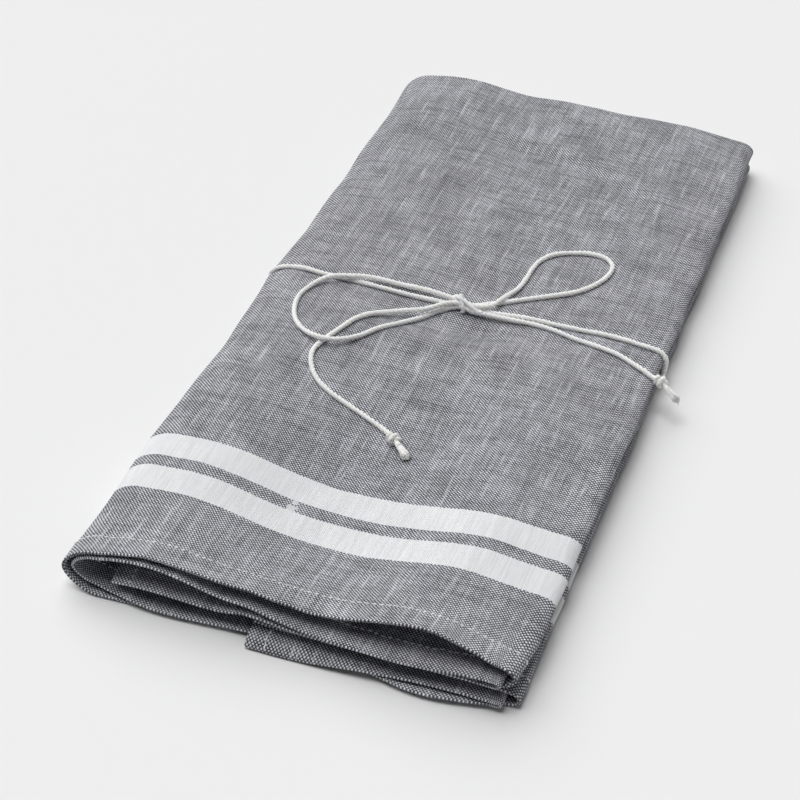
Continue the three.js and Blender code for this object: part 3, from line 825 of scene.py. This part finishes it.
# The turns of the bow's knot: one closes the bundle, one comes over it and runs on as the right tail
KNOT_TURN = (
    (-1.6, 15.0, 1.6), (-2.2, 14.9, 3.4), (-2.2, 13.6, 4.8), (-1.4, 11.8, 5.0), (-0.2, 10.2, 4.3),
    (0.6, 9.3, 2.8), (0.2, 9.6, 1.2),
)
KNOT_BAND = (
    (-3.4, 13.8, 1.4), (-4.2, 14.2, 3.0), (-3.8, 13.2, 4.4), (-2.4, 12.2, 5.2), (0.2, 11.2, 5.2),
    (2.6, 10.4, 4.6), (5.0, 9.9, 3.4), (8.6, 9.7, 2.9),
)
END_KNOT_LEFT = (2.0, -75.0, 2.7)
END_KNOT_RIGHT = (86.6, -6.8, 14.8)
END_LEFT_WAY = (0.76, -0.64, -0.06)
END_RIGHT_WAY = (0.80, -0.50, -0.33)
TUFT = 8.0
TUFT_FROM = 2.6
TUFT_FLAT = 0.85
TUFT_FIBRES = 280
FIBRE_POINTS = 7
FIBRE_LONG = 0.009
KNOT_STEPS = 12
KNOT_LONG = 3.2
KNOT_WIDE = 1.62
KNOT_HIGH = 1.46
KNOT_HALF_TURNS = 3.5


def rests(lift):
    """Height of the twine's middle over the cloth's face, without the gap that the solids keep."""
    return TWINE_FULL * TWINE / 2 - SINK + lift - ON_CLOTH


def on_towel(points):
    table = np.array([(*point, ON_CLOTH)[:3] for point in points], float)
    x, y = table[:, 0], table[:, 1]
    top = top_height(x, y) + top_relief(x, y) + HALF
    return np.stack([x, y, top + rests(table[:, 2])], axis=1)


def round_side(degrees, ys, beyond):
    """The twine pulled round one side of the folded cloth: points where it touches, by direction."""
    near = np.abs(grid[:, :, 1] - TIE_Y) < 1.2
    x, z = grid[:, :, 0][near], grid[:, :, 2][near]
    at_side = x * math.copysign(1, beyond) > abs(beyond)
    x, z = x[at_side], z[at_side]
    out = HALF + TWINE_FULL * TWINE / 2 - SINK
    points = []
    for degree, y in zip(degrees, ys):
        dx, dz = math.cos(math.radians(degree)), math.sin(math.radians(degree))
        touch = np.argmax(x * dx + z * dz)
        points.append((x[touch] + out * dx, y, max(z[touch] + out * dz, UNDER_Z)))
    return np.array(points)


def spaced_route(points, step):
    """Points a step apart on a smooth curve through the given ones."""
    points = np.asarray(points, float)
    ends = np.concatenate([[2 * points[0] - points[1]], points, [2 * points[-1] - points[-2]]])
    knots = np.concatenate([[0], np.cumsum(np.linalg.norm(np.diff(ends, axis=0), axis=1) ** 0.5)])
    fine = []
    for i in range(1, len(ends) - 2):
        t0, t1, t2, t3 = knots[i - 1:i + 3]
        t = np.linspace(t1, t2, 24, endpoint=False)[:, None]
        p0, p1, p2, p3 = ends[i - 1:i + 3]
        a1 = (t1 - t) / (t1 - t0) * p0 + (t - t0) / (t1 - t0) * p1
        a2 = (t2 - t) / (t2 - t1) * p1 + (t - t1) / (t2 - t1) * p2
        a3 = (t3 - t) / (t3 - t2) * p2 + (t - t2) / (t3 - t2) * p3
        b1 = (t2 - t) / (t2 - t0) * a1 + (t - t0) / (t2 - t0) * a2
        b2 = (t3 - t) / (t3 - t1) * a2 + (t - t1) / (t3 - t1) * a3
        fine.append((t2 - t) / (t2 - t1) * b1 + (t - t1) / (t2 - t1) * b2)
    fine = np.concatenate(fine + [points[-1:]])
    along = np.concatenate([[0], np.cumsum(np.linalg.norm(np.diff(fine, axis=0), axis=1))])
    at = np.linspace(0, along[-1], max(3, int(round(along[-1] / step)) + 1))
    return np.stack([np.interp(at, along, fine[:, k]) for k in range(3)], axis=1)


def lengths_along(line):
    return np.concatenate([[0], np.cumsum(np.linalg.norm(np.diff(line, axis=0), axis=1))])


def frames_along(line):
    """Two directions square to the line at each point, carried along it without spinning."""
    tangent = np.gradient(line, axis=0)
    tangent /= np.linalg.norm(tangent, axis=1, keepdims=True)
    side = np.cross(tangent[0], (0.0, 0.0, 1.0))
    if np.linalg.norm(side) < 1e-3:
        side = np.cross(tangent[0], (1.0, 0.0, 0.0))
    first, second = [], []
    for direction in tangent:
        side = side - direction * np.dot(side, direction)
        side /= np.linalg.norm(side)
        first.append(side.copy())
        second.append(np.cross(direction, side))
    return tangent, np.array(first), np.array(second)


class Strands:
    """Collects tubes into one mesh, with texture places along and round each tube."""

    def __init__(self):
        self.points, self.faces, self.places = [], [], []
        self.count = 0

    def tube(self, line, radius, ring, places):
        """A closed tube; radius holds one value for each point of the line and of the ring."""
        _, first, second = frames_along(line)
        angle = 2 * math.pi * np.arange(ring) / ring
        cosine, sine = np.cos(angle)[None, :, None], np.sin(angle)[None, :, None]
        circle = first[:, None, :] * cosine + second[:, None, :] * sine
        out = circle * np.broadcast_to(radius, (len(line), ring))[:, :, None]
        body = (line[:, None, :] + out).reshape(-1, 3)
        i, j = np.meshgrid(np.arange(len(line) - 1), np.arange(ring), indexing="ij")
        k = (j + 1) % ring
        sides = np.stack([i * ring + j, i * ring + k, (i + 1) * ring + k, (i + 1) * ring + j], axis=-1)
        self.faces += (sides.reshape(-1, 4) + self.count).tolist()
        last = (len(line) - 1) * ring
        self.faces.append([self.count + m for m in reversed(range(ring))])
        self.faces.append([self.count + last + m for m in range(ring)])
        self.points.append(body)
        self.places.append(places.reshape(-1, 2))
        self.count += len(body)

    def twine(self, line, seed, thick=1.0):
        """Three twisted plies of slightly uneven thickness."""
        along = lengths_along(line)
        angle = 2 * math.pi * np.arange(RING) / RING
        wander = 0.5 * np.sin(along / 9.0 + seed) + 0.3 * np.sin(along / 4.1 + 2 * seed)
        turned = angle[None, :] - 2 * math.pi * along[:, None] / PLY_TWIST + seed + 0.5 * wander[:, None]
        lobes = np.abs(np.cos(PLIES * turned / 2))
        rng = np.random.default_rng(100 + seed)
        marks = np.arange(0, along[-1] + 6, 2.6)
        uneven = np.interp(along, marks, rng.normal(1, 0.045, len(marks)))
        radius = TWINE_FULL * TWINE / 2 * thick * (0.66 + 0.38 * lobes ** 0.7) * uneven[:, None]
        places = np.stack([np.repeat(along, RING), (turned * TWINE / 2).ravel()], axis=1) * MM
        self.tube(line, radius, RING, places)

    def fuzz(self, line, seed, per_mm=FUZZ_PER_MM, reach=(0.5, 1.4)):
        """Short loose fibres that stand off the twine."""
        rng = np.random.default_rng(200 + seed)
        along = lengths_along(line)
        tangent, first, second = frames_along(line)
        for _ in range(int(along[-1] * per_mm)):
            k = rng.integers(1, len(line) - 1)
            angle = rng.random() * 2 * math.pi
            out = first[k] * math.cos(angle) + second[k] * math.sin(angle)
            way = tangent[k] * rng.choice((-1, 1)) * rng.uniform(0.5, 1.6) + out * rng.uniform(0.25, 1.0)
            way /= np.linalg.norm(way)
            length = rng.uniform(*reach)
            curl = rng.normal(0, 0.35, 3)
            steps = np.linspace(0, 1, 4)[:, None]
            fibre = line[k] + out * TWINE * FUZZ_ROOT + way * length * steps + curl * length * steps ** 2
            fibre[:, 2] = np.maximum(fibre[:, 2], FUZZ_RADIUS)
            width = FUZZ_RADIUS * np.array([1.0, 0.9, 0.75, 0.4])[:, None]
            self.tube(fibre, width, 3, np.repeat([[along[k] * MM, 0.0]], 12, axis=0))

    def build(self, name, material=COTTON):
        points = (np.concatenate(self.points) + SHIFT) * MM
        mesh = bpy.data.meshes.new(name)
        mesh.from_pydata(points.tolist(), [], self.faces)
        places = np.concatenate(self.places)
        layer = mesh.uv_layers.new(name="UVMap")
        corner = np.empty(len(mesh.loops), np.int32)
        mesh.loops.foreach_get("vertex_index", corner)
        layer.data.foreach_set("uv", places[corner].astype(np.float32).ravel())
        mesh.polygons.foreach_set("use_smooth", np.ones(len(mesh.polygons), bool))
        mesh.update()
        mesh.materials.append(material)
        made = linked(name, mesh)
        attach(made, "root")
        return made


# Directions, in degrees, in which the round touches the two sides of the towel
LEFT_TURNS = (112, 130, 150, 170, 190, 210, 230, 250)
RIGHT_TURNS = (-70, -50, -30, -10, 10, 30, 50, 68)
RIGHT_YS = (11, 11, 10.9, 10.6, 10.4, 10.4, 10.8, 11.4)
WRAP = np.concatenate([
    on_towel(WRAP_LEFT_TOP),
    round_side(LEFT_TURNS, np.linspace(11.1, TIE_Y, len(LEFT_TURNS)), -60),
    np.array([(x, TIE_Y, UNDER_Z) for x in (-66, -50, -30, 0, 30, 50, 66)]),
    round_side(RIGHT_TURNS, RIGHT_YS, 60),
    on_towel(WRAP_RIGHT_TOP),
])
# Each cord's name, the node it replaces, its route and what it ends at
CORDS = (
    ("twine_round", "twine_wrap", WRAP, "object"),
    ("loop_left", "bow_loop_left", on_towel(BOW_LEFT), "object"),
    ("loop_right", "bow_loop_right", on_towel(BOW_RIGHT), "object"),
    ("end_left", "tail_left", on_towel(TAIL_LEFT), "knot"),
    ("end_right", "tail_right", on_towel(TAIL_RIGHT), "knot"),
)


def cord_piece(name, node, points, seed):
    line = spaced_route(points, RING_STEP)
    strands = Strands()
    strands.twine(line, seed)
    strands.fuzz(line, seed)
    piece = strands.build(name)
    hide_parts(node)
    return piece, line


def bow_piece():
    strands = Strands()
    for seed, points in ((11, KNOT_TURN), (12, KNOT_BAND)):
        line = spaced_route(on_towel(points), RING_STEP)
        strands.twine(line, seed, 0.97)
        strands.fuzz(line, seed, 4.0)
    piece = strands.build("bow_turns")
    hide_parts("bow_knot")
    return piece


def end_knot(name, node, entry, centre, way, seed, lying):
    """An overhand knot drawn tight, and past it the end of the twine, come apart into its fibres."""
    way = np.array(way, float)
    way /= np.linalg.norm(way)
    side = np.cross((0.0, 0.0, 1.0), way)
    side /= np.linalg.norm(side)
    up = np.cross(way, side)
    coil = [(-0.4, 0.2, 0.2), (1.1, 0.5, 0.6)]
    for step in range(KNOT_STEPS + 1):
        share = step / KNOT_STEPS
        angle = math.pi * (0.4 + KNOT_HALF_TURNS * share)
        ahead = KNOT_LONG * (0.5 - share)
        coil.append((ahead, KNOT_WIDE * math.sin(angle), KNOT_HIGH * math.cos(angle)))
    coil += [(-0.9, 0.1, -0.5), (0.9, 0, -0.2), (2.6, 0, 0), (4.4, 0, 0)]

    def place(p):
        return centre + way * p[0] + side * p[1] + up * p[2]

    strands = Strands()
    line = spaced_route(np.concatenate([entry, [place(p) for p in coil]]), RING_STEP)
    strands.twine(line, seed, 0.97)
    strands.fuzz(line, seed, 3.0)
    rng = np.random.default_rng(300 + seed)
    shares = np.linspace(0, 1, FIBRE_POINTS)
    spread = 0.85 if lying else 0.45
    for _ in range(TUFT_FIBRES):
        angle, out = rng.random() * 2 * math.pi, math.sqrt(rng.random())
        a, b = out * math.cos(angle), out * math.sin(angle)
        end = TUFT - 1.4 * out ** 2 + rng.normal(0, 0.40)
        curl = rng.normal(0, 0.22, 2)
        fibre = []
        for share in shares:
            flare = 0.90 + spread * share ** 1.5
            wave = math.sin(share * 6 + angle) * 0.12
            aside = a * flare + wave + curl[0] * share
            above = b * TUFT_FLAT + curl[1] * share * 0.6 - lying * share
            fibre.append(place((TUFT_FROM + end * share, aside, above)))
        width = np.full((FIBRE_POINTS, 1), rng.uniform(0.12, 0.18))
        along = np.repeat(shares * FIBRE_LONG, 4)
        places = np.stack([along, np.full(len(along), rng.random() * 0.01)], axis=1)
        strands.tube(np.array(fibre), width, 4, places)
    piece = strands.build(name, LOOSE_COTTON)
    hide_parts(node)
    return piece


cords = {}
for number, (name, node, points, far_end) in enumerate(CORDS):
    cords[name] = cord_piece(name, node, points, number + 1)
bow = bow_piece()


def knot_entry(name):
    """Two points near a cord's end, from which its knot goes on."""
    return cords[name][1][[-9, -2]]


knots = {
    "end_left": end_knot("knot_left", "tail_knot_left", knot_entry("end_left"),
                         on_towel([END_KNOT_LEFT])[0], END_LEFT_WAY, 21, 0.9),
    "end_right": end_knot("knot_right", "tail_knot_right", knot_entry("end_right"),
                          np.array(END_KNOT_RIGHT), END_RIGHT_WAY, 22, 0.0),
    "twine_round": bow,
}


# Hem stitches: short raised threads in rows along the hems, on both faces of the cloth

STITCH_EVERY = 2.6
STITCH_LONG = 1.9
STITCH_HALF = 0.27
STITCH_SIDES = 6


def on_cloth(s, t, face):
    """Places on the cloth's face and their outward directions, from distances across and along it."""
    column = np.interp(s, across_at, np.arange(len(across_at)))
    row = np.interp(t, along_at, np.arange(len(along_at)))
    c = np.minimum(column.astype(int), len(across_at) - 2)
    r = np.minimum(row.astype(int), len(along_at) - 2)
    fc, fr = (column - c)[:, None], (row - r)[:, None]

    def blend(values):
        return ((values[r, c] * (1 - fc) + values[r, c + 1] * fc) * (1 - fr)
                + (values[r + 1, c] * (1 - fc) + values[r + 1, c + 1] * fc) * fr)

    normal = blend(cloth_normal) * face
    return blend(grid) + normal * blend(cloth_half[:, :, None]), normal


def stitches(rows_of_stitches):
    """Points and faces of all stitches; each row gives its start, direction, length and face."""
    rng = np.random.default_rng(77)
    starts_s, starts_t, ways_s, ways_t, faces = [], [], [], [], []
    for s, t, ds, dt, length, face in rows_of_stitches:
        at = np.arange(1.0, length - STITCH_LONG, STITCH_EVERY)
        at = at + rng.normal(0, 0.12, len(at))
        starts_s.append(s + ds * at + rng.normal(0, 0.10, len(at)) * abs(dt))
        starts_t.append(t + dt * at + rng.normal(0, 0.14, len(at)) * abs(ds))
        ways_s.append(np.full(len(at), ds))
        ways_t.append(np.full(len(at), dt) + rng.normal(0, 0.08, len(at)) * abs(ds))
        faces.append(np.full(len(at), face))
    s, t = np.concatenate(starts_s), np.concatenate(starts_t)
    ws, wt = np.concatenate(ways_s), np.concatenate(ways_t)
    face = np.concatenate(faces)[:, None]
    shares = (0.0, 0.18, 0.5, 0.82, 1.0)
    sizes = (0.25, 0.85, 1.0, 0.85, 0.25)
    sinks = (-0.10, 0.06, 0.13, 0.06, -0.10)
    angles = 2 * math.pi * np.arange(STITCH_SIDES) / STITCH_SIDES
    rings = []
    for share, size, sink in zip(shares, sizes, sinks):
        here, further = STITCH_LONG * share, STITCH_LONG * (share + 0.1)
        middle, normal = on_cloth(s + ws * here, t + wt * here, face)
        ahead, _ = on_cloth(s + ws * further, t + wt * further, face)
        way = ahead - middle
        way /= np.maximum(np.linalg.norm(way, axis=1, keepdims=True), 1e-9)
        side = np.cross(normal, way)
        middle = middle + normal * sink
        for angle in angles:
            rings.append(middle + (side * math.cos(angle) + normal * math.sin(angle)) * STITCH_HALF * size)
    points = np.stack(rings, axis=1)
    count, ring = points.shape[1], len(angles)
    quads = []
    for i in range(len(shares) - 1):
        for j in range(ring):
            k = (j + 1) % ring
            quads.append((i * ring + j, i * ring + k, (i + 1) * ring + k, (i + 1) * ring + j))
    for start in (0, count - ring):
        cap = [start + m for m in range(ring)]
        cap = cap if start else cap[::-1]
        quads += [(cap[0], cap[1], cap[2], cap[3]), (cap[0], cap[3], cap[4], cap[5])]
    firsts = (np.arange(len(points)) * count)[:, None, None]
    return points.reshape(-1, 3), (np.array(quads)[None, :, :] + firsts).reshape(-1, 4)


def stitch_piece():
    rows_of_stitches = []
    for face in (1.0, -1.0):
        for t in (HEM_WIDTH - 0.6, CLOTH_LENGTH - HEM_WIDTH + 0.6):
            rows_of_stitches.append((0.0, t, 1.0, 0.0, CLOTH_WIDTH, face))
        for s in (SIDE_HEM_WIDTH - 0.5, CLOTH_WIDTH - SIDE_HEM_WIDTH + 0.5):
            rows_of_stitches.append((s, 0.0, 0.0, 1.0, CLOTH_LENGTH, face))
    points, faces = stitches(rows_of_stitches)
    piece = mesh_object("hem_stitches", (points + SHIFT) * MM, faces)
    n = Nodes("stitch_thread")
    grain = n.node("TexCoord").outputs["Object"]
    light = n.noise(grain, 1400.0, 2.0)
    n.surface("Base Color", n.mix(light, (0.70, 0.70, 0.72, 1.0), (0.93, 0.93, 0.94, 1.0)))
    n.surface("Roughness", 0.85)
    n.bump(light, 0.0001, 0.6)
    piece.data.materials.append(n.material)
    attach(piece, "root")
    return piece


hem = stitch_piece()


# The floor is flat round the towel, and far off it curves up into a pale backdrop

FLOOR_FLAT = 2.5
FLOOR_REACH = 12.0
BACKDROP_HIGH = 1.4
BACKDROP_STEPS = 16
FLOOR_SIDES = 64


def floor_object():
    radii = np.linspace(FLOOR_FLAT, FLOOR_REACH, BACKDROP_STEPS + 1)
    angle = 2 * math.pi * np.arange(FLOOR_SIDES) / FLOOR_SIDES
    share = (radii - FLOOR_FLAT) / (FLOOR_REACH - FLOOR_FLAT)
    height = CAD_BOX[0][2] + BACKDROP_HIGH * share ** 2
    x, y = radii[:, None] * np.cos(angle), radii[:, None] * np.sin(angle)
    points = np.stack([x, y, height[:, None] + 0 * x], axis=2).reshape(-1, 3)
    faces = [list(range(FLOOR_SIDES))]
    for i in range(len(radii) - 1):
        for j in range(FLOOR_SIDES):
            k = (j + 1) % FLOOR_SIDES
            inner, outer = i * FLOOR_SIDES, (i + 1) * FLOOR_SIDES
            faces.append([inner + j, outer + j, outer + k, inner + k])
    mesh = bpy.data.meshes.new("floor")
    mesh.from_pydata(points.tolist(), [], faces)
    mesh.materials.append(floor_material())
    return linked("floor", mesh)


floor_object()

towel.data.materials.append(CLOTH)
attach(towel, "root")
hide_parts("towel")


def soft_light(name, place, width, strength):
    """A wide soft light from one direction; width is the angle that it fills, in degrees."""
    data = bpy.data.lights.new(name, "SUN")
    data.angle = math.radians(width)
    data.energy = strength
    light = linked(name, data)
    turned = (-Vector(place)).to_track_quat("-Z", "Y").to_matrix().to_4x4()
    light.matrix_world = Matrix.Translation(Vector(place)) @ turned


soft_light("overhead", (-0.70, 0.48, 1.22), 76.0, 2.38)
soft_light("top", (-0.20, -0.15, 1.40), 34.0, 1.00)
soft_light("side", (1.00, -0.15, 0.55), 60.0, 0.20)
world = bpy.data.worlds.new("studio")
bpy.context.scene.world = world
world.use_nodes = True
world.node_tree.nodes["Background"].inputs["Color"].default_value = (0.97, 0.98, 1.0, 1.0)
world.node_tree.nodes["Background"].inputs["Strength"].default_value = 0.02
bpy.context.scene.view_settings.view_transform = "Standard"
